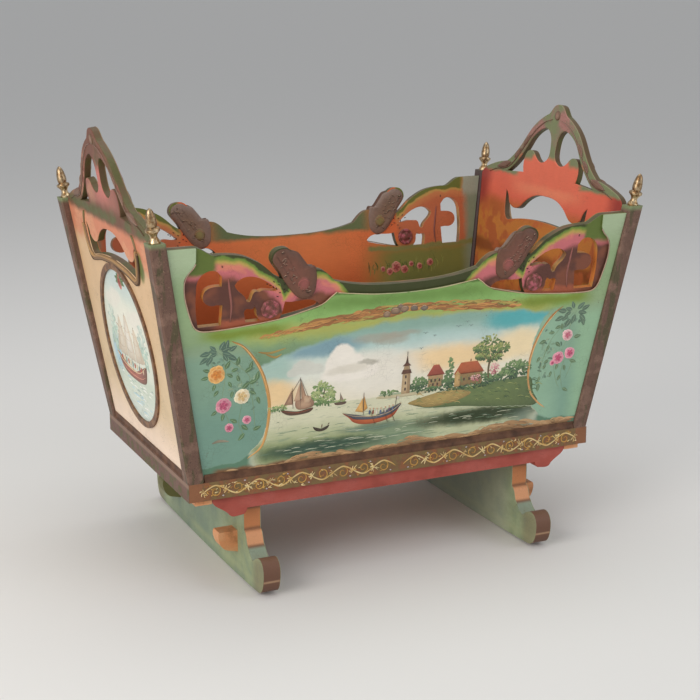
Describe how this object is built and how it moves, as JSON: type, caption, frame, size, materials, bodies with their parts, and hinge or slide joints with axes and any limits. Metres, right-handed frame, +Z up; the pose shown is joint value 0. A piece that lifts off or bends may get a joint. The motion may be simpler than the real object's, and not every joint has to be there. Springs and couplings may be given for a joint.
{
  "type": "baby cradle",
  "caption": "Painted wooden rocking cradle with flared sides, fretted and dipped side boards, pierced pointed end crests, corner posts with brass finials, on curved rockers.",
  "frame": {"origin": "on the floor under the middle of the cradle, where both rockers' undersides touch a flat floor", "axes": "+X along the cradle's length, +Y across it towards the back side board, +Z up"},
  "size_m": [0.9866, 0.6046, 0.8148],
  "materials": {
    "hidden_pin": "bare wooden pins and dowels, hidden in the joints",
    "side_paint": "hand-painted scene in green, teal and orange on a wooden board, satin varnish",
    "end_paint": "cream paint with a painted medallion on a wooden board, satin varnish",
    "rosette_paint": "turned roundel painted brown with a pink eye",
    "ring_paint": "thin raised ring painted brown",
    "iron_nail": "blackened iron nails",
    "base_paint": "olive-brown paint with gold scrolls",
    "bead_paint": "dark brown paint",
    "gilt_brass": "aged gilt brass, worn on the raised turnings",
    "post_paint": "speckled purple-brown paint",
    "rocker_paint": "sage green faces with brown and orange stepped ends",
    "block_paint": "orange-peach paint",
    "bearer_paint": "brick red paint",
    "floor_wood": "plain varnished boards"
  },
  "bodies": {
    "root": {"side_board_pins": "hidden_pin", "end_board_pins": "hidden_pin", "post_foot_dowels": "hidden_pin", "rocker_dowels": "hidden_pin", "bearer_dowels": "hidden_pin", "front_side_board": "side_paint", "back_side_board": "side_paint", "left_end_board": "end_paint", "right_end_board": "end_paint", "front_left_rosette": "rosette_paint", "front_right_rosette": "rosette_paint", "back_left_rosette": "rosette_paint", "back_right_rosette": "rosette_paint", "left_medallion_ring": "ring_paint", "right_medallion_ring": "ring_paint", "floor_nails": "iron_nail", "batten_nails": "iron_nail", "base_rail_front": "base_paint", "base_rail_back": "base_paint", "base_rail_left": "base_paint", "base_rail_right": "base_paint", "front_bead": "bead_paint", "back_bead": "bead_paint", "left_bead": "bead_paint", "right_bead": "bead_paint", "front_left_finial": "gilt_brass", "front_right_finial": "gilt_brass", "back_left_finial": "gilt_brass", "back_right_finial": "gilt_brass", "front_left_post": "post_paint", "front_right_post": "post_paint", "back_left_post": "post_paint", "back_right_post": "post_paint", "left_rocker": "rocker_paint", "right_rocker": "rocker_paint", "left_front_rocker_block": "block_paint", "left_back_rocker_block": "block_paint", "right_front_rocker_block": "block_paint", "right_back_rocker_block": "block_paint", "front_bearer": "bearer_paint", "back_bearer": "bearer_paint", "left_floor_batten": "block_paint", "right_floor_batten": "block_paint", "front_floor_board": "floor_wood", "middle_floor_board": "floor_wood", "back_floor_board": "floor_wood"}
  },
  "joints": []
}
